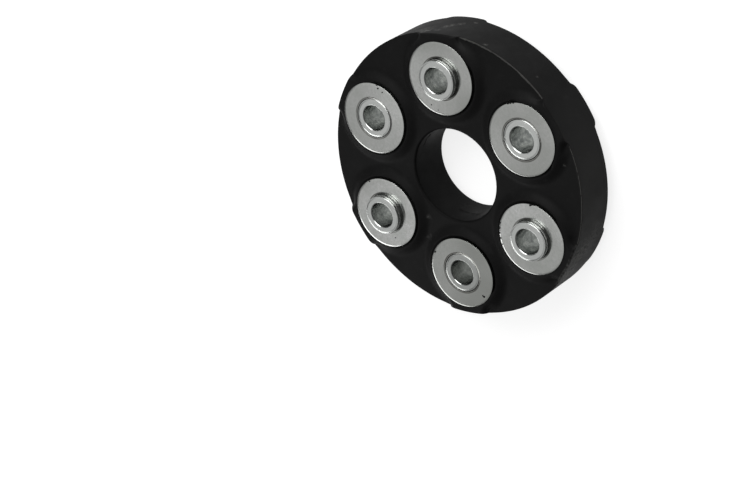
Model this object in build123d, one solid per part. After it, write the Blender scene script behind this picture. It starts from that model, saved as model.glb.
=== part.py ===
"""Flexible rubber coupling disc with six steel sleeves, in millimetres.

+Z is the shaft axis and sleeve 1 is on +X. Every second sleeve stands out at the
top and takes one flange's three arms, and the others stand out below and take the
other flange's. Bands of cord wound round neighbouring sleeves carry the pull from
one to the next, and the rubber moulded round them holds everything in place.
The origin is on the axis, level with the ends of the three lower sleeves, which
the disc stands on when it lies flat.
"""
import os
from math import cos, radians, sin, tan

from build123d import *

# Sleeves and their circle
bolt_circle = 100.0
sleeve_pairs = 3
sleeve_radius = 9.9
sleeve_bore_radius = 6.4
sleeve_stand_out = 3.4
sleeve_chamfer_width = 1.05
sleeve_chamfer_height = 0.75
sleeve_mouth_chamfer = 0.4

# Stamped washers that guide the cord, one at each end of each sleeve
washer_radius = 18.1
washer_thickness = 3.0
washer_edge_width = 1.2
washer_edge_drop = 0.15

# Rubber body
disc_thickness = 22.5
rim_wall = 3.7
hole_wall = 2.65
hole_chamfer = 0.5

# Raised boss round each washer, with a neck that runs out to the rim and a moat inside its lip
boss_height = 2.5
boss_lip = 3.5
neck_width = 22.4
neck_blend = 7.0
boss_flank_angle = 30.0
boss_crown_rounding = 3.6
washer_above_boss = 0.6
moat_width = 2.2
moat_depth = 1.1

# Cord bands: two thin ones on one side of a sleeve, a thick one on the other
cord_build = 7.2
thin_band_height = 4.8
band_gap = 1.1
band_cover = 1.4

# Places and sizes that follow from the values above; a crown's rounding has to end on its flank
sleeve_count = 2 * sleeve_pairs
pitch_radius = bolt_circle / 2
pitch_angle = 360 / sleeve_count
first_sleeve = Vector(pitch_radius, 0, 0)
second_sleeve = first_sleeve.rotate(Axis.Z, pitch_angle)
between_sleeves = (first_sleeve + second_sleeve) / 2
sleeve_spacing = (second_sleeve - first_sleeve).length
band_radius = sleeve_radius + cord_build
boss_radius = washer_radius + boss_lip
boss_lean = radians(boss_flank_angle)
boss_crown_radius = boss_radius - boss_height * tan(boss_lean)
between_crowns = sleeve_spacing / 2 - boss_crown_radius
boss_flank = min(boss_height / cos(boss_lean), between_crowns / sin(boss_lean))
crown_turn = radians(90 - boss_flank_angle)
widest_crown_rounding = 0.8 * boss_flank / tan(crown_turn / 2)
disc_radius = pitch_radius + washer_radius + rim_wall
hole_radius = between_sleeves.length - band_radius - hole_wall
face_level = disc_thickness / 2
boss_level = face_level + boss_height
washer_level = boss_level + washer_above_boss
seat_level = washer_level - washer_thickness
sleeve_level = washer_level + sleeve_stand_out
thin_band_level = seat_level - band_cover - thin_band_height / 2
thick_band_height = 2 * (seat_level - band_cover - thin_band_height - band_gap)
upwards = (Align.CENTER, Align.CENTER, Align.MIN)


def at_sleeve(number):
    """The place of a sleeve, numbered anticlockwise from 1 on +X."""
    return Rot(0, 0, pitch_angle * (number - 1)) * Pos(pitch_radius, 0, 0)


def turned_over(shape):
    """The shape on the disc's other face, in the same place seen from above."""
    return mirror(shape, about=Plane.XY)


def edges_at_level(part, level):
    return part.edges().filter_by_position(Axis.Z, level - 0.001, level + 0.001)


def make_sleeve():
    """A turned tube whose upper end stands out and whose lower end is level with its washer."""
    end_radius = sleeve_radius - sleeve_chamfer_width
    mouth_radius = sleeve_bore_radius + sleeve_mouth_chamfer
    with BuildPart() as sleeve:
        with BuildSketch(Plane.XZ):
            with BuildLine():
                Polyline(
                    (sleeve_bore_radius, sleeve_mouth_chamfer - washer_level),
                    (mouth_radius, -washer_level),
                    (end_radius, -washer_level),
                    (sleeve_radius, sleeve_chamfer_height - washer_level),
                    (sleeve_radius, sleeve_level - sleeve_chamfer_height),
                    (end_radius, sleeve_level),
                    (mouth_radius, sleeve_level),
                    (sleeve_bore_radius, sleeve_level - sleeve_mouth_chamfer),
                    close=True,
                )
            make_face()
        revolve(axis=Axis.Z)
    return sleeve.part


def make_washer():
    """An upper washer on its seat, with the shallow edges that the press leaves on its outer side."""
    edge_level = washer_level - washer_edge_drop
    with BuildPart() as washer:
        with BuildSketch(Plane.XZ):
            with BuildLine():
                Polyline(
                    (sleeve_radius, seat_level),
                    (washer_radius, seat_level),
                    (washer_radius, edge_level),
                    (washer_radius - washer_edge_width, washer_level),
                    (sleeve_radius + washer_edge_width, washer_level),
                    (sleeve_radius, edge_level),
                    close=True,
                )
            make_face()
        revolve(axis=Axis.Z)
    return washer.part


def make_band(height, level):
    """A band of cord round sleeves 1 and 2, with its middle at the level given."""
    with BuildPart() as band:
        with BuildSketch(Plane.XY.offset(level - height / 2)):
            SlotCenterToCenter(sleeve_spacing, 2 * band_radius)
            SlotCenterToCenter(sleeve_spacing, 2 * sleeve_radius, mode=Mode.SUBTRACT)
        extrude(amount=height)
    turn = pitch_angle / 2
    return Rot(0, 0, turn) * Pos(between_sleeves.length, 0, 0) * Rot(0, 0, 90) * band.part


def make_boss():
    """One boss of the upper face, seated at the first sleeve, before it is trimmed to the rim."""
    with BuildPart() as boss:
        with BuildSketch(Plane.XY.offset(face_level)) as outline:
            Circle(boss_radius)
            Rectangle(disc_radius, neck_width, align=(Align.MIN, Align.CENTER))
            neck_corners = outline.vertices().filter_by_position(Axis.X, 0, boss_radius)
            fillet(neck_corners, neck_blend)
        extrude(amount=boss_height, taper=boss_flank_angle)
    return at_sleeve(1) * boss.part


def make_moulding():
    """The outer form of the rubber: a thick ring with six bosses on each face."""
    boss = make_boss()
    with BuildPart() as half:
        Cylinder(disc_radius, face_level, align=upwards)
        for number in range(sleeve_count):
            add(Rot(0, 0, pitch_angle * number) * boss)
        Cylinder(disc_radius, boss_level, align=upwards, mode=Mode.INTERSECT)
        crowns = [edge for edge in edges_at_level(half, boss_level) if not on_the_rim(edge)]
        fillet(crowns, min(boss_crown_rounding, widest_crown_rounding))
        Hole(hole_radius)
        hole_edge = edges_at_level(half, face_level).sort_by_distance((0, 0, face_level))[0]
        chamfer(hole_edge, hole_chamfer)
    return half.part + turned_over(half.part)


def on_the_rim(edge):
    middle = edge @ 0.5
    return Vector(middle.X, middle.Y, 0).length > disc_radius - 0.001


pieces = {}

long_up = make_sleeve()
long_down = turned_over(long_up)
washer = make_washer()
for number in range(1, sleeve_count + 1):
    sleeve = long_up if number % 2 else long_down
    pieces[f"sleeve_{number}"] = at_sleeve(number) * sleeve
    pieces[f"washer_top_{number}"] = at_sleeve(number) * washer
    pieces[f"washer_bottom_{number}"] = at_sleeve(number) * turned_over(washer)

thick_band = make_band(thick_band_height, 0)
thin_band = make_band(thin_band_height, thin_band_level)
for pair in range(sleeve_pairs):
    to_thick = Rot(0, 0, 2 * pitch_angle * pair)
    to_thin = Rot(0, 0, 2 * pitch_angle * pair + pitch_angle)
    pieces[f"cord_middle_{pair + 1}"] = to_thick * thick_band
    pieces[f"cord_upper_{pair + 1}"] = to_thin * thin_band
    pieces[f"cord_lower_{pair + 1}"] = to_thin * turned_over(thin_band)

sleeve_room = Cylinder(sleeve_radius, 2 * sleeve_level)
seat = Pos(0, 0, seat_level) * Cylinder(washer_radius, sleeve_level, align=upwards)
moat_floor = Pos(0, 0, boss_level - moat_depth)
moat = moat_floor * Cone(washer_radius, washer_radius + moat_width, moat_depth, align=upwards)
room = sleeve_room + seat + moat
room += turned_over(room)
rooms = [at_sleeve(number) * room for number in range(1, sleeve_count + 1)]
cords = [piece for name, piece in pieces.items() if name.startswith("cord")]
pieces["rubber_body"] = make_moulding() - (rooms + cords)

os.makedirs("parts", exist_ok=True)
for name, piece in pieces.items():
    piece.label = name
    export_step(Pos(0, 0, sleeve_level) * piece, f"parts/{name}.step")
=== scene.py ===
import bpy
import numpy as np
from math import cos, pi, radians, sin, tan
from mathutils import Euler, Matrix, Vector


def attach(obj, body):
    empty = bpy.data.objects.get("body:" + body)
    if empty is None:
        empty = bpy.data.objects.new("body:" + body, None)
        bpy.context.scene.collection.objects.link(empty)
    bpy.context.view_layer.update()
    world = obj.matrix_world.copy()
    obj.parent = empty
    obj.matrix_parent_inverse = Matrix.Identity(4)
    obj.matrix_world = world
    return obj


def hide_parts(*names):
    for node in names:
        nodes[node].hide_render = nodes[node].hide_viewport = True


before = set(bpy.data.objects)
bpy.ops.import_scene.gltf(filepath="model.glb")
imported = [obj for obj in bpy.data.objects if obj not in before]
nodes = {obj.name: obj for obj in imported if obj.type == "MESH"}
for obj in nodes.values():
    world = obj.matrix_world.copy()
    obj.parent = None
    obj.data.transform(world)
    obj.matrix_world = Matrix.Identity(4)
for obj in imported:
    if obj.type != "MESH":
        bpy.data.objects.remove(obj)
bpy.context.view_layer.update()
mm = 0.001
print("frame loaded:", len(nodes), "nodes")


def linearColour(hexColour):
    # sRGB hex to the linear values that shaders work in
    s = np.array([int(hexColour[i:i + 2], 16) for i in (1, 3, 5)]) / 255
    return (*np.where(s <= 0.04045, s / 12.92, ((s + 0.055) / 1.055) ** 2.4).tolist(), 1.0)


def addNode(tree, kind, inputs=None, **settings):
    # a node with its settings; an input given as (node, output name) becomes a link
    node = tree.nodes.new("ShaderNode" + kind)
    for name, value in settings.items():
        setattr(node, name, value)
    for key, value in (inputs or {}).items():
        if isinstance(value, tuple) and isinstance(value[0], bpy.types.Node):
            tree.links.new(value[0].outputs[value[1]], node.inputs[key])
        else:
            node.inputs[key].default_value = value
    return node


def newMaterial(name):
    material = bpy.data.materials.new(name)
    material.use_nodes = True
    material.node_tree.nodes.clear()
    return material, material.node_tree


def gridQuads(rows, columns, closeRows=False, closeColumns=False):
    # corner numbers of every quad of a grid whose points are stored row after row
    r = np.arange(rows if closeRows else rows - 1)[:, None]
    c = np.arange(columns if closeColumns else columns - 1)[None, :]
    r2, c2 = (r + 1) % rows, (c + 1) % columns
    corners = [r * columns + c, r2 * columns + c, r2 * columns + c2, r * columns + c2]
    return np.stack(corners, -1).reshape(-1, 4)


def joined(grids):
    # (points, quads) grids as one mesh: places that fall together become one corner, and a quad
    # that has lost a side this way becomes a triangle
    starts = np.cumsum([0] + [len(points) for points, _ in grids])
    points = np.concatenate([points for points, _ in grids])
    quads = np.concatenate([quads + start for (_, quads), start in zip(grids, starts)])
    _, first, same = np.unique(np.round(points, 5), axis=0, return_index=True, return_inverse=True)
    faces = [list(dict.fromkeys(quad)) for quad in same.reshape(-1)[quads].tolist()]
    return points[first], [face for face in faces if len(face) > 2]


def meshPiece(name, points, faces, material, standsFor=()):
    # points in mm, in the frame of the CAD
    mesh = bpy.data.meshes.new(name)
    mesh.from_pydata((points * mm).tolist(), [], faces if isinstance(faces, list) else faces.tolist())
    mesh.polygons.foreach_set("use_smooth", np.ones(len(mesh.polygons), bool))
    mesh.materials.append(material)
    piece = bpy.data.objects.new(name, mesh)
    bpy.context.scene.collection.objects.link(piece)
    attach(piece, "root")
    if standsFor:
        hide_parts(*standsFor)
    return piece


def sharpFaces(piece):
    # flat faces keep flat shading up to the roundings beside them
    weighted = piece.modifiers.new("flat faces stay flat", "WEIGHTED_NORMAL")
    weighted.weight = 80
    return piece


rubberLooks = {
    "moulded": ("#0b0b0b", "#101010", "#202020"),   # dark, light, and the wax bloom on them
    # torn: greyer rubber for the torn flash, lightened further so that the rim's thin ridge shows a painted
    # highlight
    "torn": ("#2c2c2b", "#4a4a48", "#5a5a57"),
    # scuffed: the grey of the scuffs, which also paints sheen on the rim and in the hole
    "scuffAndSheenGrey": "#575755", "hole": "#040404",
    "roughness": (0.46, 0.58), "ior": 1.52, "specular": 0.09,
    "holeEdge": (23.6, 24.8),   # radii in mm between which the hole's black ends
    "rimEdge": (70.6, 71.4),   # radii in mm between which the rim's scuffs and painted sheen set in
    "rimDullFrom": (71.3, 71.7),   # and between which it gets duller
    "shake": 2.0,   # mm each way that a patch's outline wanders
    "hazeFrom": 12,   # mm of reach above which a patch is only a haze
    "scuffsAndSheen": (
        # place in mm, reach in mm, strength
        # the rim by sleeve 1
        ((70.4, 13.9, 25.5), 3.0, 0.55), ((71.2, 8.9, 27.0), 3.5, 0.7), ((71.7, 3.4, 26.0), 2.5, 0.35),
        ((71.7, 2.0, 20.5), 3.0, 0.5), ((71.8, 0.0, 17.6), 2.6, 0.55), ((71.7, -2.8, 15.1), 2.6, 0.45),
        ((70.9, 11.3, 24.5), 6.0, 0.4), ((71.3, -8.3, 10.6), 1.6, 0.7), ((67.4, -24.7, 27.0), 1.2, 0.6),
        # the rim by sleeves 6 and 5, where the broad hazes and strongest patches are painted sheen, and a
        # spot on the upper face between them
        ((12.0, -70.8, 14.0), 36.0, 0.13), ((-20.0, -69.0, 22.0), 22.0, 0.1),
        ((-33.0, -63.8, 24.0), 11.0, 0.75), ((-38.2, -60.8, 28.0), 9.0, 1.0),
        ((-43.4, -57.2, 25.0), 9.0, 1.0), ((-27.0, -66.5, 14.0), 10.0, 0.4),
        ((52.9, -48.5, 22.4), 1.2, 0.6), ((14.4, -63.6, 29.0), 1.0, 0.5),
        # the hole, partly painted sheen
        ((13.8, 19.0, 20.0), 6.0, 0.8), ((12.3, 20.1, 13.0), 5.0, 0.8),
        ((-22.9, 5.6, 13.0), 6.0, 0.35), ((-23.5, -1.6, 18.5), 5.0, 0.45),
        # the upper face
        ((-24.4, 18.8, 29.0), 2.0, 0.25), ((-35.4, 19.7, 29.0), 2.0, 0.25)),
}


def makeMouldedRubber(name, s, colours, scuffsAndSheen=()):
    # Natural rubber filled with carbon black, pressed in a steel mould: nearly black, soft wide
    # highlights, a fine grain from the mould wall, a faint grey bloom where wax came out, and
    # greyer scuffs where it was handled, which on the rim and in the hole are partly painted sheen.
    material, tree = newMaterial(name)
    dark, light, bloomColour = (linearColour(hexColour) for hexColour in colours)
    coords = addNode(tree, "TexCoord")
    spot = (coords, "Object")
    mottle = addNode(tree, "TexNoise", {
        "Vector": spot, "Scale": 1 / (11 * mm), "Detail": 4, "Roughness": 0.6})
    bloom = addNode(tree, "TexNoise", {
        "Vector": spot, "Scale": 1 / (4 * mm), "Detail": 6, "Roughness": 0.7})
    grain = addNode(tree, "TexNoise", {
        "Vector": spot, "Scale": 1 / (0.45 * mm), "Detail": 3, "Roughness": 0.6})
    bloomShare = addNode(tree, "MapRange", {
        "Value": (bloom, "Fac"), "From Min": 0.52, "From Max": 0.8, "To Max": 0.35})
    body = addNode(tree, "MixRGB", {"Fac": (mottle, "Fac"), "Color1": dark, "Color2": light})
    colour = addNode(tree, "MixRGB", {
        "Fac": (bloomShare, "Result"), "Color1": (body, "Color"), "Color2": bloomColour})
    flatSpot = addNode(tree, "VectorMath", {0: spot, 1: (1, 1, 0)}, operation="MULTIPLY")
    fromAxis = addNode(tree, "VectorMath", {0: (flatSpot, "Vector")}, operation="LENGTH")
    onRim = addNode(tree, "MapRange", {
        "Value": (fromAxis, "Value"), "From Min": s["rimEdge"][0] * mm, "From Max": s["rimEdge"][1] * mm})
    ragged = addNode(tree, "TexNoise", {
        "Vector": spot, "Scale": 1 / (1.6 * mm), "Detail": 6, "Roughness": 0.7})
    flecks = addNode(tree, "MapRange", {"Value": (ragged, "Fac"), "From Min": 0.4, "From Max": 0.62})
    # each place is shaken to both sides, so that a patch has a ragged outline
    shake = addNode(tree, "TexNoise", {
        "Vector": spot, "Scale": 1 / (2.8 * mm), "Detail": 3, "Roughness": 0.6})
    shaken = addNode(tree, "VectorMath", {
        0: (shake, "Color"), 1: [2 * s["shake"] * mm] * 3, 2: spot}, operation="MULTIPLY_ADD")
    # greyer patches: scuffs, and on the rim by sleeves 6 and 5 and in the hole partly painted sheen
    for place, reach, strength in scuffsAndSheen:
        middle = [(v + s["shake"]) * mm for v in place]
        away = addNode(tree, "VectorMath", {0: (shaken, "Vector"), 1: middle}, operation="DISTANCE")
        patch = addNode(tree, "MapRange", {
            "Value": (away, "Value"), "From Min": 0.0, "From Max": reach * mm,
            "To Min": 2 * strength, "To Max": 0.0})
        texture = (mottle, "Fac") if reach > s["hazeFrom"] else (flecks, "Result")
        scuffAndSheen = addNode(tree, "Math", {
            0: (patch, "Result"), 1: texture}, operation="MULTIPLY", use_clamp=True)
        if np.hypot(place[0], place[1]) > s["rimEdge"][0]:   # the rim's scuffs and painted sheen end at its edge
            scuffAndSheen = addNode(tree, "Math", {0: (scuffAndSheen, "Value"), 1: (onRim, "Result")}, operation="MULTIPLY")
        colour = addNode(tree, "MixRGB", {
            "Fac": (scuffAndSheen, "Value"), "Color1": (colour, "Color"), "Color2": linearColour(s["scuffAndSheenGrey"])})
    # the hole's wall is drawn blacker and duller, fading out over the rounding at its edge
    inHole = addNode(tree, "MapRange", {
        "Value": (fromAxis, "Value"), "From Min": s["holeEdge"][0] * mm, "From Max": s["holeEdge"][1] * mm,
        "To Min": 0.85, "To Max": 0.0})
    colour = addNode(tree, "MixRGB", {
        "Fac": (inHole, "Result"), "Color1": (colour, "Color"), "Color2": linearColour(s["hole"])})
    # the mould's outer ring is eroded, not polished, which leaves the rim a little duller too
    rimShare = addNode(tree, "MapRange", {
        "Value": (fromAxis, "Value"), "From Min": s["rimDullFrom"][0] * mm,
        "From Max": s["rimDullFrom"][1] * mm, "To Max": 0.12})
    dull = addNode(tree, "Math", {
        0: (inHole, "Result"), 1: 0.15, 2: (rimShare, "Result")}, operation="MULTIPLY_ADD")
    even = addNode(tree, "MapRange", {
        "Value": (mottle, "Fac"), "From Min": 0.3, "From Max": 0.7,
        "To Min": s["roughness"][0], "To Max": s["roughness"][1]})
    rough = addNode(tree, "Math", {0: (even, "Result"), 1: (dull, "Value")}, operation="ADD")
    bump = addNode(tree, "Bump", {"Height": (grain, "Fac"), "Strength": 0.25, "Distance": 0.04 * mm})
    shader = addNode(tree, "BsdfPrincipled", {
        "Base Color": (colour, "Color"), "Roughness": (rough, "Value"), "Normal": (bump, "Normal"),
        "IOR": s["ior"], "Specular IOR Level": s["specular"]})
    addNode(tree, "OutputMaterial", {"Surface": (shader, "BSDF")})
    return material


turnedLooks = {
    # film: the grey that paints shade in the bore and a darker reflection on the outer wall
    "fresh": ("#cdd0ce", "#dfe1de"), "paintedShadeGrey": ("#949796", "#d6d8d5"), "dull": "#999b98",
    "roughness": (0.14, 0.24),
    "ringPitch": 0.5, "wavePitch": 1.8, "ringDepth": 0.15,   # mm
    "bore": (6.42, 6.6), "wall": (9.7, 9.88),   # radii in mm between which the painted shade in the bore ends and the painted darker reflection on the wall begins
    "ringsFrom": (8.6, 9.3),   # radii in mm between which the rings deepen
}


def makeTurnedSteel(s):
    # Steel turned on a lathe and zinc plated: bright and a little blue, fine rings run round it,
    # and it is painted greyer in the bore, as shade, and on the outer wall, as a darker reflection.
    material, tree = newMaterial("turnedZincPlatedSteel")
    coords = addNode(tree, "TexCoord")
    fromAxis = addNode(tree, "Attribute", attribute_name="fromAxis")
    tone = addNode(tree, "Attribute", attribute_name="tone")
    # feed marks are about 0.1 mm apart; drawn 0.5 mm apart so that they show, with a wider wave
    # under them, and deeper on the wall (a wave texture repeats every pi / 10 of its scaled length)
    feed = addNode(tree, "TexWave", {
        "Vector": (coords, "UV"), "Scale": pi / 10 / s["wavePitch"]}, bands_direction="Y")
    along = addNode(tree, "SeparateXYZ", {"Vector": (coords, "UV")})
    rings = addNode(tree, "TexNoise", {
        "W": (along, "Y"), "Scale": 1 / s["ringPitch"], "Detail": 2, "Roughness": 0.6},
        noise_dimensions="1D")
    marks = addNode(tree, "Math", {0: (feed, "Fac"), 1: 1.6, 2: (rings, "Fac")}, operation="MULTIPLY_ADD")
    cloud = addNode(tree, "TexNoise", {
        "Vector": (coords, "Object"), "Scale": 1 / (3 * mm), "Detail": 5, "Roughness": 0.6})
    cloudShare = addNode(tree, "MapRange", {"Value": (cloud, "Fac"), "From Min": 0.35, "From Max": 0.65})
    fresh = addNode(tree, "MixRGB", {
        "Fac": (cloud, "Fac"), "Color1": linearColour(s["fresh"][0]), "Color2": linearColour(s["fresh"][1])})
    paintedShadeGrey = addNode(tree, "MixRGB", {
        "Fac": (cloudShare, "Result"),
        "Color1": linearColour(s["paintedShadeGrey"][0]), "Color2": linearColour(s["paintedShadeGrey"][1])})
    # painted shade in the bore, and a painted darker reflection on the outer wall
    inBore = addNode(tree, "MapRange", {
        "Value": (fromAxis, "Fac"), "From Min": s["bore"][0], "From Max": s["bore"][1],
        "To Min": 1.0, "To Max": 0.0})
    onWall = addNode(tree, "MapRange", {
        "Value": (fromAxis, "Fac"), "From Min": s["wall"][0], "From Max": s["wall"][1], "To Max": 0.75})
    shadeShare = addNode(tree, "Math", {0: (inBore, "Result"), 1: (onWall, "Result")}, operation="MAXIMUM")
    shaded = addNode(tree, "MixRGB", {
        "Fac": (shadeShare, "Value"), "Color1": (fresh, "Color"), "Color2": (paintedShadeGrey, "Color")})
    colour = addNode(tree, "MixRGB", {
        "Fac": (tone, "Fac"), "Color1": (shaded, "Color"), "Color2": linearColour(s["dull"])})
    rough = addNode(tree, "MapRange", {
        "Value": (cloud, "Fac"), "From Min": 0.3, "From Max": 0.7,
        "To Min": s["roughness"][0], "To Max": s["roughness"][1]})
    depth = addNode(tree, "MapRange", {
        "Value": (fromAxis, "Fac"), "From Min": s["ringsFrom"][0], "From Max": s["ringsFrom"][1],
        "To Min": 0.02, "To Max": 1.0})
    bump = addNode(tree, "Bump", {
        "Height": (marks, "Value"), "Strength": (depth, "Result"), "Distance": s["ringDepth"] * mm})
    shader = addNode(tree, "BsdfPrincipled", {
        "Base Color": (colour, "Color"), "Metallic": 1.0, "Roughness": (rough, "Result"),
        "Normal": (bump, "Normal")})
    addNode(tree, "OutputMaterial", {"Surface": (shader, "BSDF")})
    return material


stampedLooks = {
    # dirt: a dark grey that is dirt and painted shade, in the pressed ring and the corner by the sleeve
    "fresh": ("#c6c9c5", "#dfdfde"), "dull": "#a2a4a0", "dirtAndShade": "#4b4943",
    "roughness": (0.15, 0.23),
    "dirtAndShadeRing": (10.25, 10.55, 10.8, 11.1),   # radii in mm: fades in over the first two, out over the others
    "dirtAndShadeCorner": (10.12, 10.35),   # radii in mm between which the dirt and painted shade by the sleeve end
}


def makeStampedSteel(s):
    # Strip steel, punched, tumbled and zinc plated: satin, with small knocks, a tone that drifts
    # from one to the next, and dirt with painted shade in the pressed ring and in the corner by the sleeve.
    material, tree = newMaterial("stampedZincPlatedSteel")
    coords = addNode(tree, "TexCoord")
    spot = (coords, "Object")
    fromAxis = addNode(tree, "Attribute", attribute_name="fromAxis")
    tone = addNode(tree, "Attribute", attribute_name="tone")
    cloud = addNode(tree, "TexNoise", {
        "Vector": spot, "Scale": 1 / (9 * mm), "Detail": 5, "Roughness": 0.62})
    speckle = addNode(tree, "TexNoise", {
        "Vector": spot, "Scale": 1 / (1.6 * mm), "Detail": 3, "Roughness": 0.6})
    knocks = addNode(tree, "TexNoise", {
        "Vector": spot, "Scale": 1 / (0.6 * mm), "Detail": 4, "Roughness": 0.65})
    drift = addNode(tree, "TexNoise", {"Vector": spot, "Scale": 1 / (40 * mm), "Detail": 1})
    waves = addNode(tree, "TexNoise", {"Vector": spot, "Scale": 1 / (12 * mm), "Detail": 1})
    both = addNode(tree, "Math", {0: (cloud, "Fac"), 1: (speckle, "Fac")}, operation="MULTIPLY")
    mottle = addNode(tree, "MapRange", {"Value": (both, "Value"), "From Min": 0.11, "From Max": 0.43})
    fresh = addNode(tree, "MixRGB", {
        "Fac": (mottle, "Result"),
        "Color1": linearColour(s["fresh"][0]), "Color2": linearColour(s["fresh"][1])})
    driftShare = addNode(tree, "MapRange", {
        "Value": (drift, "Fac"), "From Min": 0.35, "From Max": 0.65, "To Min": -0.3, "To Max": 0.3})
    toneShare = addNode(tree, "Math", {
        0: (tone, "Fac"), 1: (driftShare, "Result")}, operation="ADD", use_clamp=True)
    clean = addNode(tree, "MixRGB", {
        "Fac": (toneShare, "Value"), "Color1": (fresh, "Color"), "Color2": linearColour(s["dull"])})
    # painted shade mixed with dirt: darker in the pressed ring and in the corner by the sleeve
    ringStart = addNode(tree, "MapRange", {
        "Value": (fromAxis, "Fac"), "From Min": s["dirtAndShadeRing"][0], "From Max": s["dirtAndShadeRing"][1]})
    ringEnd = addNode(tree, "MapRange", {
        "Value": (fromAxis, "Fac"), "From Min": s["dirtAndShadeRing"][2], "From Max": s["dirtAndShadeRing"][3],
        "To Min": 1.0, "To Max": 0.0})
    ring = addNode(tree, "Math", {0: (ringStart, "Result"), 1: (ringEnd, "Result")}, operation="MINIMUM")
    corner = addNode(tree, "MapRange", {
        "Value": (fromAxis, "Fac"), "From Min": s["dirtAndShadeCorner"][0], "From Max": s["dirtAndShadeCorner"][1],
        "To Min": 1.0, "To Max": 0.0})
    dirtAndShade = addNode(tree, "Math", {0: (ring, "Value"), 1: (corner, "Result")}, operation="MAXIMUM")
    patchy = addNode(tree, "MapRange", {
        "Value": (cloud, "Fac"), "From Min": 0.35, "From Max": 0.6, "To Min": 0.45, "To Max": 0.85})
    dirtAndShadeShare = addNode(tree, "Math", {0: (dirtAndShade, "Value"), 1: (patchy, "Result")}, operation="MULTIPLY")
    colour = addNode(tree, "MixRGB", {
        "Fac": (dirtAndShadeShare, "Value"), "Color1": (clean, "Color"), "Color2": linearColour(s["dirtAndShade"])})
    rough = addNode(tree, "MapRange", {
        "Value": (cloud, "Fac"), "From Min": 0.3, "From Max": 0.7,
        "To Min": s["roughness"][0], "To Max": s["roughness"][1]})
    broad = addNode(tree, "Bump", {"Height": (waves, "Fac"), "Strength": 0.6, "Distance": 0.2 * mm})
    bump = addNode(tree, "Bump", {
        "Height": (knocks, "Fac"), "Strength": 0.25, "Distance": 0.02 * mm, "Normal": (broad, "Normal")})
    shader = addNode(tree, "BsdfPrincipled", {
        "Base Color": (colour, "Color"), "Metallic": 1.0, "Roughness": (rough, "Result"),
        "Normal": (bump, "Normal")})
    addNode(tree, "OutputMaterial", {"Surface": (shader, "BSDF")})
    return material


cordLooks = {
    "between": "#8c8474", "strand": "#cfc6b2",
    "roughness": 0.8, "strandRise": 0.3,   # mm
}


def makeWoundCord(s):
    # Polyester cord wound in layers: fine pale strands side by side, 0.7 mm apart (a wave texture
    # repeats every pi / 10 of its scaled length, here of 2.2 mm).
    material, tree = newMaterial("woundPolyesterCord")
    coords = addNode(tree, "TexCoord")
    strands = addNode(tree, "TexWave", {
        "Vector": (coords, "Object"), "Scale": 1 / (2.2 * mm), "Distortion": 1.5, "Detail": 3},
        bands_direction="Z")
    colour = addNode(tree, "MixRGB", {
        "Fac": (strands, "Fac"), "Color1": linearColour(s["between"]), "Color2": linearColour(s["strand"])})
    bump = addNode(tree, "Bump", {
        "Height": (strands, "Fac"), "Strength": 0.8, "Distance": s["strandRise"] * mm})
    shader = addNode(tree, "BsdfPrincipled", {
        "Base Color": (colour, "Color"), "Roughness": s["roughness"], "Normal": (bump, "Normal")})
    addNode(tree, "OutputMaterial", {"Surface": (shader, "BSDF")})
    return material


rubber = makeMouldedRubber(
    "mouldedNaturalRubber", rubberLooks, rubberLooks["moulded"], rubberLooks["scuffsAndSheen"])
# the flash's rubber is lighter, to paint a highlight along the rim's thin ridge
flashRubberWithHighlight = makeMouldedRubber("tornFlashPaintedHighlight", rubberLooks, rubberLooks["torn"])
turnedSteel = makeTurnedSteel(turnedLooks)
stampedSteel = makeStampedSteel(stampedLooks)
woundCord = makeWoundCord(cordLooks)
print("materials made")


midHeight = 17.75   # mm, of the disc's middle above the floor
boltRadius = 50.0   # mm, from the disc's axis to each sleeve's
sleeveCount = 6
sleeveAngle = 360 / sleeveCount   # degrees from one sleeve to the next


def roundedProfile(corners, steps=6):
    # each corner (radius, height, setback) becomes a quadratic curve that leaves the two
    # straight sides one setback away from the corner
    c = np.array(corners, float)
    p, cut = c[:, :2], c[:, 2:]
    before, after = np.roll(p, 1, 0) - p, np.roll(p, -1, 0) - p
    a = p + before / np.linalg.norm(before, axis=1, keepdims=True) * cut
    b = p + after / np.linalg.norm(after, axis=1, keepdims=True) * cut
    t = np.linspace(0, 1, steps)[None, :, None]
    return ((1 - t) ** 2 * a[:, None] + 2 * t * (1 - t) * p[:, None] + t ** 2 * b[:, None]).reshape(-1, 2)


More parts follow.
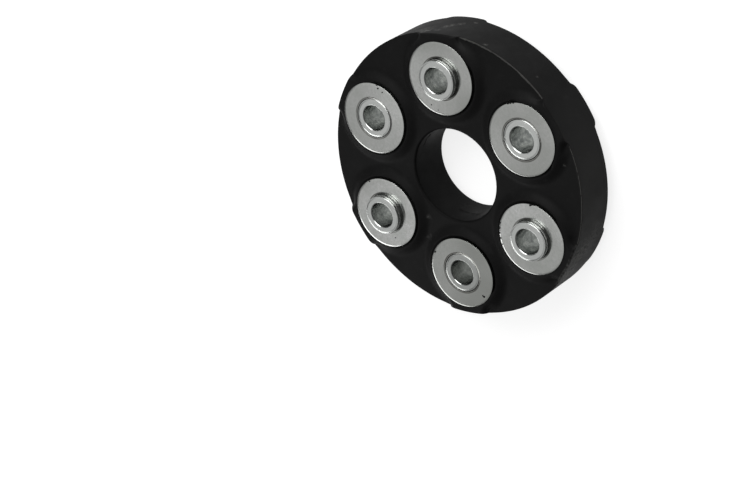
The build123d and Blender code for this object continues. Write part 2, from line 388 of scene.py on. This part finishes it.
def turnedPiece(name, corners, sleeve, turnedOver, material, node, tone, turns=128):
    # a rounded profile carried round the sleeve's axis: for its points (r, height),
    # x = r cos a and y = r sin a from that axis, and z = height from the disc's middle
    profile = roundedProfile(corners)
    if turnedOver:
        profile = profile[::-1] * (1, -1)
    a = np.arange(turns)[:, None] * 2 * pi / turns
    place = radians(sleeveAngle * (sleeve - 1))
    x = boltRadius * cos(place) + profile[:, 0] * np.cos(a + place)
    y = boltRadius * sin(place) + profile[:, 0] * np.sin(a + place)
    z = midHeight + profile[:, 1] + 0 * a
    count = len(profile)
    quads = gridQuads(turns, count, True, True)
    piece = meshPiece(name, np.stack([x, y, z], -1).reshape(-1, 3), quads, material, [node])
    # the piece's own map: mm round the sleeve, 10 mm from its axis, and mm along the profile
    length = np.concatenate([[0], np.cumsum(np.linalg.norm(np.diff(profile, axis=0), axis=1))])
    length = np.append(length, length[-1] + np.linalg.norm(profile[0] - profile[-1]))
    i, j = np.divmod(np.arange(turns * count), count)
    u = np.stack([i, i + 1, i + 1, i], -1) * (2 * pi * 10 / turns)
    v = length[np.stack([j, j, j + 1, j + 1], -1)]
    layer = piece.data.uv_layers.new(name="turning")
    layer.uv.foreach_set("vector", np.stack([u, v], -1).astype(np.float32).ravel())
    fromAxis = piece.data.attributes.new("fromAxis", "FLOAT", "POINT")
    fromAxis.data.foreach_set("value", np.tile(profile[:, 0], turns).astype(np.float32))
    toneLayer = piece.data.attributes.new("tone", "FLOAT", "POINT")
    toneLayer.data.foreach_set("value", np.full(turns * count, tone, np.float32))
    return sharpFaces(piece)


sleeveShape = {
    # mm; a rounding is given by how far from its corner it begins
    "radius": 9.9, "bore": 6.4,
    "lowEnd": -14.35, "highEnd": 17.75,   # from the middle of the disc
    "endRound": 0.7,
    "mouthChamfer": 0.4, "mouthRound": 0.2,
    "tones": (0.1, 0.0, 0.1, 0.6, 0.1, 0.0),   # how grey the plating of each came out
}


def sleeveCorners(s):
    r, b, low, high = s["radius"], s["bore"], s["lowEnd"], s["highEnd"]
    mouth, mouthRound, endRound = s["mouthChamfer"], s["mouthRound"], s["endRound"]
    return [(b, low + mouth, mouthRound), (b + mouth, low, mouthRound), (r, low, endRound),
            (r, high, endRound), (b + mouth, high, mouthRound), (b, high - mouth, mouthRound)]


washerShape = {
    # mm; a rounding is given by how far from its corner it begins
    "radius": 18.1, "bore": 10.1, "low": 11.35, "high": 14.35,
    "rollWidth": 1.2, "rollDrop": 0.15,   # the outer edge that the punch rolls over
    "boreWidth": 1.0, "boreDrop": 0.15, "boreRound": 0.2,
    "edgeRound": 0.06,
    "tones": (0.55, 0.15, 0.0, 1.0, 0.3, 0.4),   # how grey the plating of each came out
}


def washerCorners(s):
    r, b, low, high, e = s["radius"], s["bore"], s["low"], s["high"], s["edgeRound"]
    roll = s["rollWidth"] / 2
    return [(b, low, e), (r, low, e), (r, high - s["rollDrop"], e), (r - roll, high, roll - e),
            (b + s["boreWidth"], high, s["boreRound"]), (b, high - s["boreDrop"], e)]


for number in range(1, sleeveCount + 1):
    # every second sleeve stands out below
    turnedPiece(f"turned_sleeve_{number}", sleeveCorners(sleeveShape), number, number % 2 == 0,
                turnedSteel, f"sleeve_{number}", sleeveShape["tones"][number - 1])
    tones = washerShape["tones"]
    turnedPiece(f"guide_washer_top_{number}", washerCorners(washerShape), number, False,
                stampedSteel, f"washer_top_{number}", tones[number - 1])
    turnedPiece(f"guide_washer_bottom_{number}", washerCorners(washerShape), number, True,
                stampedSteel, f"washer_bottom_{number}", tones[-number])
print("sleeves and washers turned")


rubberShape = {
    # mm; heights are from the disc's middle
    "rim": 71.78, "hole": 23.551, "face": 11.25,   # radii, and the height of the face
    "boss": 2.5, "bossRadius": 21.6,   # its height over the face, and the radius of its foot
    "neckHalf": 11.2, "neckBlend": 7.0,
    "flankLean": 30, "crown": 3.6, "footSoft": 0.5,   # the neck's: lean in degrees, roundings
    "longFoot": 3.3,   # how far the soft slope round the washer runs out past the foot
    "softFrom": (20, 52),   # degrees from the neck between which the flank turns into the soft slope
    "faceEdge": 0.45, "bossEdge": 1.0, "holeEdge": 1.1,   # roundings at the rim and the hole
    "seatRadius": 18.1, "seat": 11.35, "sleeveHole": 9.9,
    "moat": 12.4, "moatSlope": 0.8, "lipSoft": 0.2,   # groove between the washer and the lip
    "moatEnd": (45, 75),   # degrees from the neck between which the groove runs out
    "moatRise": 3,   # how far the groove's floor has risen where it has run out
    # the grid: directions in each stretch from the neck to the hole, which lie closest over the
    # neck's corners (between the degrees given), rows by the lip, rows out from it and down the walls
    "directions": (10, 30, 9, 22, 8), "closeDirections": (20, 47),
    "lipRows": (0, 0.4, 0.8, 1.2, 1.5, 1.65, 1.75, 1.85, 1.95, 2.05, 2.15, 2.3, 2.5, 2.8, 3.2, 3.7, 4.2),
    "outRows": 15, "wallRows": (0.85, 0.6, 0.3, 0.1, 0.03, 0.01, 0.0), "edgeRows": 6,
}


def bossDistance(s, x, y):
    # distance outside the boss's outline: a circle, a neck of even width, and a round blend between
    y = np.abs(y)
    blendY = s["neckHalf"] + s["neckBlend"]
    blendX = np.sqrt((s["bossRadius"] + s["neckBlend"]) ** 2 - blendY ** 2)
    circle = np.hypot(x, y) - s["bossRadius"]
    neck = y - s["neckHalf"]
    blend = s["neckBlend"] - np.hypot(x - blendX, y - blendY)
    outward = y * blendX < x * blendY
    return np.where(outward & (x > blendX), neck, np.where(outward, blend, circle))


def softMin(a, b, width):
    # the smaller of two, rounded off where they cross
    return np.minimum(a, b) - np.maximum(width - np.abs(a - b), 0) ** 2 / (4 * width)


def smoothStep(value, start, end):
    share = np.clip((value - start) / (end - start), 0, 1)
    return share ** 2 * (3 - 2 * share)


def bossRise(s, x, y):
    # height over the face, for places measured from the sleeve's axis with x outwards: along the
    # neck a straight flank that leans in and a round crown, round the washer one long soft slope
    inside = -bossDistance(s, x, y)
    lean, crown = radians(s["flankLean"]), s["crown"]
    topStart = s["boss"] * tan(lean) + crown * tan(pi / 4 - lean / 2)
    back = np.clip(topStart - inside, 0, crown * cos(lean))
    climb = np.minimum(inside / tan(lean), s["boss"] - crown + np.sqrt(crown ** 2 - back ** 2))
    steep = -softMin(0 * climb, -climb, s["footSoft"])
    soft = s["boss"] * smoothStep(inside, -s["longFoot"], topStart)
    share = smoothStep(np.degrees(np.abs(np.arctan2(y, x))), *s["softFrom"])
    return steep + share * (soft - steep)


def upperSixth(s):
    # A sixth of the upper half, on rings of points round the sleeve's axis. For direction a and
    # radius r, x = c + r cos a, y = r sin a and z = the lower of face + boss and groove. The rings
    # grow from the seat's circle to the outline of the sixth. Its walls at the rim and the hole are
    # a quarter of a circle and a straight drop below each point of the outline.
    c, side = boltRadius, radians(sleeveAngle / 2)
    rimStart, holeStart = s["rim"] - s["faceEdge"], s["hole"] + s["holeEdge"]
    rimCorner = np.arctan2(rimStart * sin(side), rimStart * cos(side) - c)
    holeCorner = np.arctan2(holeStart * sin(side), holeStart * cos(side) - c)
    stops = [0, *(radians(v) for v in s["closeDirections"]), rimCorner, holeCorner, pi]
    half = np.concatenate([np.linspace(start, stop, count, stop == pi)
                           for start, stop, count in zip(stops, stops[1:], s["directions"])])
    a = np.concatenate([half, 2 * pi - half[-2:0:-1]])   # directions round the sleeve
    w = np.where(a > pi, 2 * pi - a, a)   # the same on both sides of the neck
    # where each direction meets the outline of the sixth: rim, side or hole
    toRim = -c * np.cos(w) + np.sqrt(np.maximum(rimStart ** 2 - (c * np.sin(w)) ** 2, 0))
    rimAngle = np.arctan2(toRim * np.sin(w), c + toRim * np.cos(w))
    rise = bossRise(s, s["rim"] * np.cos(rimAngle) - c, s["rim"] * np.sin(rimAngle))
    rimEdge = s["faceEdge"] + (s["bossEdge"] - s["faceEdge"]) * np.clip(rise / s["boss"], 0, 1)
    toHole = -c * np.cos(w) - np.sqrt(np.maximum(holeStart ** 2 - (c * np.sin(w)) ** 2, 0))
    holeAngle = np.arctan2(toHole * np.sin(w), c + toHole * np.cos(w))
    sideRadius = c * np.sin(w) / np.sin(np.maximum(w - side, 0.1))
    isRim, isHole = w < rimCorner + 1e-9, w > holeCorner - 1e-9
    ends = np.where(isRim, s["rim"] - rimEdge, np.where(isHole, holeStart, sideRadius))
    endAngle = np.where(isRim, rimAngle, np.where(isHole, holeAngle, side)) * np.where(a > pi, -1, 1)
    edgeX, edgeY = ends * np.cos(endAngle) - c, ends * np.sin(endAngle)
    # the rows by the lip close up where the outline is less than 5 mm from the seat
    room = np.minimum(1, (np.hypot(edgeX, edgeY) - s["seatRadius"]) * 0.2)
    lip = s["seatRadius"] + np.array(s["lipRows"])[:, None] * room
    share = np.linspace(0, 1, s["outRows"] + 1)[1:] ** 1.35   # closer together near the lip
    ringX, ringY = lip * np.cos(a), lip * np.sin(a)
    outX = ringX[-1] + share[:, None] * (edgeX - ringX[-1])
    outY = ringY[-1] + share[:, None] * (edgeY - ringY[-1])
    x, y = np.concatenate([ringX, outX]), np.concatenate([ringY, outY])
    r, away = np.hypot(x, y), np.degrees(np.abs(np.arctan2(y, x)))
    runOut = s["moatRise"] * (1 - smoothStep(away, *s["moatEnd"]))
    groove = s["moat"] + s["moatSlope"] * (r - s["seatRadius"]) + runOut
    z = softMin(s["face"] + bossRise(s, x, y), groove, s["lipSoft"])
    # the sleeve's hole from the disc's middle up, and the seat
    seat = np.array([s["sleeveHole"], s["sleeveHole"], s["seatRadius"]])[:, None]
    x = np.concatenate([seat * np.cos(a), x]) + c
    y = np.concatenate([seat * np.sin(a), y])
    z = np.concatenate([np.array([0, s["seat"], s["seat"]])[:, None] + 0 * a, z])
    grids = [(np.stack([x, y, z], -1), False, True)]
    down = np.array(s["wallRows"])[:, None]
    turn = np.linspace(0, pi / 2, s["edgeRows"])[:, None]
    for chosen, wall, size, sign in ((isRim, s["rim"], rimEdge, 1),
                                     (isHole, s["hole"], 0 * w + s["holeEdge"], -1)):
        order = np.argsort(endAngle[chosen] * sign)
        angle, size, start = endAngle[chosen][order], size[chosen][order], z[-1][chosen][order]
        radius = wall - sign * size * (1 - np.sin(turn))
        height = start - size * (1 - np.cos(turn))
        radius = np.concatenate([radius, wall + 0 * down * size])
        height = np.concatenate([height, height[-1] * down])
        grid = np.stack([radius * np.cos(angle), radius * np.sin(angle), height], -1)
        grids.append((grid, False, False))
    return grids


def makeRubberBody(s):
    # the sixth is turned round the disc's axis, each turn is mirrored down, and all are joined
    grids = []
    for grid, closeRows, closeColumns in upperSixth(s):
        quads = gridQuads(*grid.shape[:2], closeRows, closeColumns)
        flat = grid.reshape(-1, 3)
        x, y, z = flat.T
        for number in range(sleeveCount):
            a = radians(sleeveAngle * number)
            turned = np.stack([x * cos(a) - y * sin(a), x * sin(a) + y * cos(a), z], -1)
            grids += [(turned, quads), (turned * (1, 1, -1), quads[:, ::-1])]
    points, faces = joined(grids)
    lifted = points + (0, 0, midHeight)
    return sharpFaces(meshPiece("moulded_rubber", lifted, faces, rubber, ["rubber_body"]))


rubberPiece = makeRubberBody(rubberShape)
print("rubber body moulded:", len(rubberPiece.data.polygons), "faces")


flashShape = {
    # thin torn skins of rubber where the halves of the mould met; mm, heights above the floor
    "rimRadius": 71.5, "rimRoot": 28.3, "rimHeight": 1.4, "rimThickness": 0.45,
    "clearOfNeck": 9.2,   # degrees each side of a boss
    "sectors": (0.3, 0.12, 0.2, 0.3, 0.55, 1.0),   # share of it between sleeves 1 and 2, 2 and 3, ...
    "holeRadius": 23.52, "holeStep": 0.3, "holeThickness": 0.35,
    "sunk": 0.3, "wander": 2.5,   # how deep the hole's ridges sit in the wall, how far they rise and fall
    "holeArcs": ((53, 11, 23.5), (178, 17, 18.8)),   # middle and half length in degrees, height
    "seed": 5,
}


def raggedLine(count, smooth, seed):
    # random values from 0 to 1 round a circle, each the mean of its neighbours
    values = np.random.default_rng(seed).random(count)
    values = np.mean([np.roll(values, k) for k in range(-smooth, smooth + 1)], axis=0)
    return (values - values.min()) / np.ptp(values)


def makeFlash(s, count=2160):
    # each ridge is a four-sided section carried round the disc's axis: x = r cos a, y = r sin a and
    # z = height, where the torn line of random values raises the section's outer corners
    a = np.arange(count) * 2 * pi / count
    torn = 0.6 * raggedLine(count, 14, s["seed"]) + 0.4 * raggedLine(count, 2, s["seed"] + 1)
    # ridge on the upper edge of the rim: none over the bosses
    halfAngle = sleeveAngle / 2
    offBoss = halfAngle - np.abs(np.degrees(a) % sleeveAngle - halfAngle)
    sector = (a // radians(sleeveAngle)).astype(int) % sleeveCount
    shown = np.clip((offBoss - s["clearOfNeck"]) / 0.5, 0, 1) * np.array(s["sectors"])[sector]
    top = s["rimRoot"] + 0.2 + s["rimHeight"] * shown * np.clip(0.35 + 0.8 * torn, 0, 1)
    half = s["rimThickness"] / 2
    radius = s["rimRadius"] + half * np.array([1, 0.6, -0.6, -1])[None, :] + 0 * a[:, None]
    height = np.stack([0 * a + s["rimRoot"], top - 0.05, top, 0 * a + s["rimRoot"]], -1)
    ridge = np.stack([radius * np.cos(a)[:, None], radius * np.sin(a)[:, None], height], -1)
    grids = [(ridge.reshape(-1, 3), gridQuads(count, 4, True, True))]
    # torn ridges in the hole, where its two cores met; each ends inside the wall
    steps = 180
    for middle, halfLength, level in s["holeArcs"]:
        along = np.linspace(-1, 1, steps)
        arc = radians(middle) + along * radians(halfLength)
        rough = np.interp(arc, a, torn)
        slow = np.interp(arc, a, raggedLine(count, 40, s["seed"] + 2))
        middleLine = level + s["wander"] * (slow - 0.5) + 0.5 * rough
        taper = np.minimum(1, 8 * (1 - along ** 2))   # both ends run to a point inside the wall
        out = taper * (s["sunk"] + s["holeStep"] * np.clip(2 * rough - 0.5, 0.1, 1))
        radius = s["holeRadius"] + s["sunk"] - out[:, None] * np.array([0, 1, 1, 0])
        thickness = s["holeThickness"] * taper[:, None]
        height = middleLine[:, None] + thickness * np.array([0.5, 0.25, -0.25, -0.5])
        ridge = np.stack([radius * np.cos(arc)[:, None], radius * np.sin(arc)[:, None], height], -1)
        grids.append((ridge.reshape(-1, 3), gridQuads(steps, 4, False, True)))
    points, faces = joined(grids)
    return meshPiece("mould_flash", points, faces, flashRubberWithHighlight)


flashPiece = makeFlash(flashShape)


crumbShape = {
    # place on a washer in mm, and radius in mm
    "crumbs": (
        (40.91, 38.35, 0.42), (39.12, 35.95, 0.34), (42.6, 38.7, 0.5), (-60.65, -11.95, 0.6),
        (-60.2, -11.3, 0.4), (-63.1, -13.3, 0.32), (-41.3, 15.0, 0.5), (-7.4, -44.6, 0.5),
        (23.2, -32.9, 0.28), (-9.2, 51.2, 0.4), (-37.8, 39.2, 0.34), (34.1, 3.0, 0.28),
        (36.3, 6.7, 0.3), (42.5, -37.6, 0.6), (42.9, -39.1, 0.65), (43.0, -40.6, 0.5),
        (-6.9, -45.5, 0.55), (-6.8, -46.6, 0.45), (-19.2, -26.0, 0.45), (-22.0, -25.6, 0.5),
        (-24.6, -25.2, 0.45), (-27.2, -25.4, 0.5), (-30.3, -26.2, 0.4)),
    "washerTop": 32.1, "flatness": 0.5, "seed": 8,   # mm above the floor, height to radius
}


def makeCrumbs(s, turns=14, rows=8):
    # scraps of rubber left on the washers: flattened balls, x = r cos b cos a, y = r cos b sin a,
    # z = flatness r sin b, whose radius r is uneven round a, and which are squeezed and turned
    dice = np.random.default_rng(s["seed"])
    a = np.arange(turns)[None, :] * 2 * pi / turns
    b = np.linspace(-pi / 2, pi / 2, rows)[:, None]
    quads = gridQuads(rows, turns, False, True)[:, ::-1]
    grids = []
    for x, y, size in s["crumbs"]:
        lean, squeeze = dice.random() * pi, 0.6 + 0.4 * dice.random()
        uneven = 1 + 0.25 * np.sin(3 * a + 6 * dice.random()) * np.cos(b) ** 2
        u = size * uneven * np.cos(b) * np.cos(a)
        v = squeeze * size * uneven * np.cos(b) * np.sin(a)
        height = s["washerTop"] + s["flatness"] * size * (0.6 + np.sin(b)) + 0 * a
        ball = np.stack([x + u * cos(lean) - v * sin(lean), y + u * sin(lean) + v * cos(lean), height], -1)
        grids.append((ball.reshape(-1, 3), quads))
    points, faces = joined(grids)
    return meshPiece("rubber_crumbs", points, faces, rubber)


crumbPiece = makeCrumbs(crumbShape)
print("flash and crumbs added:", len(flashPiece.data.polygons) + len(crumbPiece.data.polygons), "faces")

for name, node in nodes.items():
    if name.startswith("cord"):
        node.material_slots[0].material = woundCord
print("cord bands given their material")


cameraSettings = {
    "place": (347.438, -550.236, 730.765),   # mm
    "turn": (-28.626359, 37.548898, -98.715045),   # degrees about X, Y, Z
    "focalLength": 95.8607, "sensorWidth": 36,   # mm
    "clip": (0.05, 30),   # metres, nearest and furthest that it sees
}


def makeCamera(s):
    data = bpy.data.cameras.new("camera")
    data.sensor_width = s["sensorWidth"]
    data.lens = s["focalLength"]
    data.clip_start, data.clip_end = s["clip"]
    camera = bpy.data.objects.new("camera", data)
    camera.location = Vector(s["place"]) * mm
    camera.rotation_euler = Euler([radians(a) for a in s["turn"]])
    bpy.context.scene.collection.objects.link(camera)
    bpy.context.scene.camera = camera


floorSettings = {
    "halfSize": 6,   # metres
    "drop": 0.1,   # mm, just under the sleeves that the disc stands on
    "paper": 0.35,   # how much of the light it throws back, which carries the shadow
    "glow": 0.82,   # its own light, seen directly, in gloss and through glass only
}


def makeFloor(s):
    # a pale sheet with a light of its own, on which the disc's soft shadow stays
    material, tree = newMaterial("paleFloor")
    path = addNode(tree, "LightPath")
    seen = addNode(tree, "Math", {
        0: (path, "Is Camera Ray"), 1: (path, "Is Glossy Ray")}, operation="MAXIMUM")
    seenAll = addNode(tree, "Math", {
        0: (seen, "Value"), 1: (path, "Is Transmission Ray")}, operation="MAXIMUM")
    strength = addNode(tree, "Math", {0: (seenAll, "Value"), 1: s["glow"]}, operation="MULTIPLY")
    glow = addNode(tree, "Emission", {"Color": (1, 1, 1, 1), "Strength": (strength, "Value")})
    paper = addNode(tree, "BsdfDiffuse", {"Color": (s["paper"], s["paper"], s["paper"], 1)})
    both = addNode(tree, "AddShader", {0: (glow, "Emission"), 1: (paper, "BSDF")})
    addNode(tree, "OutputMaterial", {"Surface": (both, "Shader")})
    mesh = bpy.data.meshes.new("floor")
    h, z = s["halfSize"], -s["drop"] * mm
    mesh.from_pydata([(-h, -h, z), (h, -h, z), (h, h, z), (-h, h, z)], [], [(0, 1, 2, 3)])
    mesh.materials.append(material)
    floor = bpy.data.objects.new("floor", mesh)
    bpy.context.scene.collection.objects.link(floor)


lampSettings = {
    # azimuth and elevation in degrees, distance and size in metres, radiance
    "keyLamp": (-8, 44, 0.9, (0.80, 0.62), 4.5),
    "edgeLamp": (133, 21, 0.9, (0.42, 0.38), 2.6),
}


def makeLamp(name, azimuth, elevation, distance, size, radiance):
    a, e = radians(azimuth), radians(elevation)
    away = Vector((cos(a) * cos(e), sin(a) * cos(e), sin(e)))
    data = bpy.data.lights.new(name, "AREA")
    data.shape = "RECTANGLE"
    data.size, data.size_y = size
    data.energy = radiance * pi * size[0] * size[1]
    lamp = bpy.data.objects.new(name, data)
    lamp.location = Vector((0, 0, midHeight * mm)) + away * distance
    lamp.rotation_euler = away.to_track_quat("Z", "Y").to_euler()
    lamp.visible_camera = False
    bpy.context.scene.collection.objects.link(lamp)


worldSettings = {
    "brightSide": (85, 60),   # azimuth and elevation of the glow's middle, degrees
    "glowReach": (0.4, 0.98),   # cosines of the angles from it where the glow begins and is full
    "dim": 0.11, "bright": 0.50,   # strengths of the room and of the glow
    "wallTops": (36, 45), "belowThem": 0.18,   # elevations in degrees, share of the glow below them
}


def makeWorld(s):
    # a soft glow overhead on one side of a dim room, weaker below the tops of its walls
    world = bpy.data.worlds.new("studio")
    bpy.context.scene.world = world
    world.use_nodes = True
    tree = world.node_tree
    tree.nodes.clear()
    a, e = (radians(v) for v in s["brightSide"])
    towards = (cos(a) * cos(e), sin(a) * cos(e), sin(e))
    coords = addNode(tree, "TexCoord")
    facing = addNode(tree, "VectorMath", {0: (coords, "Generated"), 1: towards}, operation="DOT_PRODUCT")
    glow = addNode(tree, "MapRange", {
        "Value": (facing, "Value"), "From Min": s["glowReach"][0], "From Max": s["glowReach"][1],
        "To Max": s["bright"]}, interpolation_type="SMOOTHSTEP")
    height = addNode(tree, "SeparateXYZ", {"Vector": (coords, "Generated")})
    lowest, highest = (sin(radians(v)) for v in s["wallTops"])
    above = addNode(tree, "MapRange", {
        "Value": (height, "Z"), "From Min": lowest, "From Max": highest,
        "To Min": s["belowThem"], "To Max": 1.0}, interpolation_type="SMOOTHSTEP")
    light = addNode(tree, "Math", {
        0: (glow, "Result"), 1: (above, "Result"), 2: s["dim"]}, operation="MULTIPLY_ADD")
    background = addNode(tree, "Background", {"Color": (light, "Value"), "Strength": 1.0})
    addNode(tree, "OutputWorld", {"Surface": (background, "Background")})


makeCamera(cameraSettings)
makeFloor(floorSettings)
for name, (azimuth, elevation, distance, size, radiance) in lampSettings.items():
    makeLamp(name, azimuth, elevation, distance, size, radiance)
makeWorld(worldSettings)
bpy.context.scene.view_settings.view_transform = "Standard"
print("camera, floor and light set")
